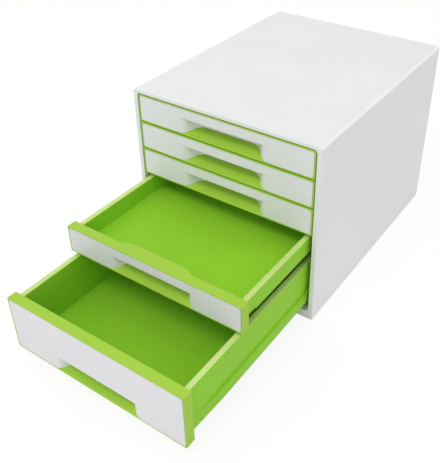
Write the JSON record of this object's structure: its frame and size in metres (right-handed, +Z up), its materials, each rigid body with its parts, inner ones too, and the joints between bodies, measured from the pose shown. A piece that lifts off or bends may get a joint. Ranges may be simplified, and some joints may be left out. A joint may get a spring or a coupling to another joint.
{
  "type": "desktop drawer cabinet",
  "caption": "Desktop cabinet for papers and small things: a plain sleeve with shallow drawers above a deep one, each with a recessed handle pocket in its two-colour front.",
  "frame": {"origin": "on the surface that the feet stand on, under the middle of the cabinet", "axes": "+X to the cabinet's right as seen from the front, +Y to the back, +Z up; the drawers open towards -Y"},
  "size_m": [0.287, 0.6204, 0.27],
  "materials": {
    "casing_white": "glossy white moulded plastic",
    "plate_white": "smooth glossy white inlay",
    "drawer_green": "glossy bright yellow-green moulded plastic",
    "runner_grey": "plain light grey plastic",
    "foot_rubber": "black rubber"
  },
  "bodies": {
    "cabinet": {"casing": "casing_white", "rear_panel": "casing_white", "left_runner_frame": "runner_grey", "right_runner_frame": "runner_grey", "feet": "foot_rubber"},
    "drawer_1": {"tray_1": "drawer_green", "front_frame_1": "drawer_green", "front_plate_1": "plate_white"},
    "drawer_2": {"tray_2": "drawer_green", "front_frame_2": "drawer_green", "front_plate_2": "plate_white"},
    "drawer_3": {"tray_3": "drawer_green", "front_frame_3": "drawer_green", "front_plate_3": "plate_white"},
    "drawer_4": {"tray_4": "drawer_green", "front_frame_4": "drawer_green", "front_plate_4": "plate_white"},
    "drawer_5": {"tray_5": "drawer_green", "front_frame_5": "drawer_green", "front_plate_5": "plate_white"}
  },
  "joints": [
    {"name": "drawer_1_slide", "type": "slide", "parent": "cabinet", "child": "drawer_1", "axis": [0, -1, 0], "range_m": [0, 0.272]},
    {"name": "drawer_2_slide", "type": "slide", "parent": "cabinet", "child": "drawer_2", "axis": [0, -1, 0], "range_m": [0, 0.272]},
    {"name": "drawer_3_slide", "type": "slide", "parent": "cabinet", "child": "drawer_3", "axis": [0, -1, 0], "range_m": [0, 0.272]},
    {"name": "drawer_4_slide", "type": "slide", "parent": "cabinet", "child": "drawer_4", "axis": [0, -1, 0], "range_m": [-0.152, 0.12]},
    {"name": "drawer_5_slide", "type": "slide", "parent": "cabinet", "child": "drawer_5", "axis": [0, -1, 0], "range_m": [-0.258, 0.014]}
  ]
}
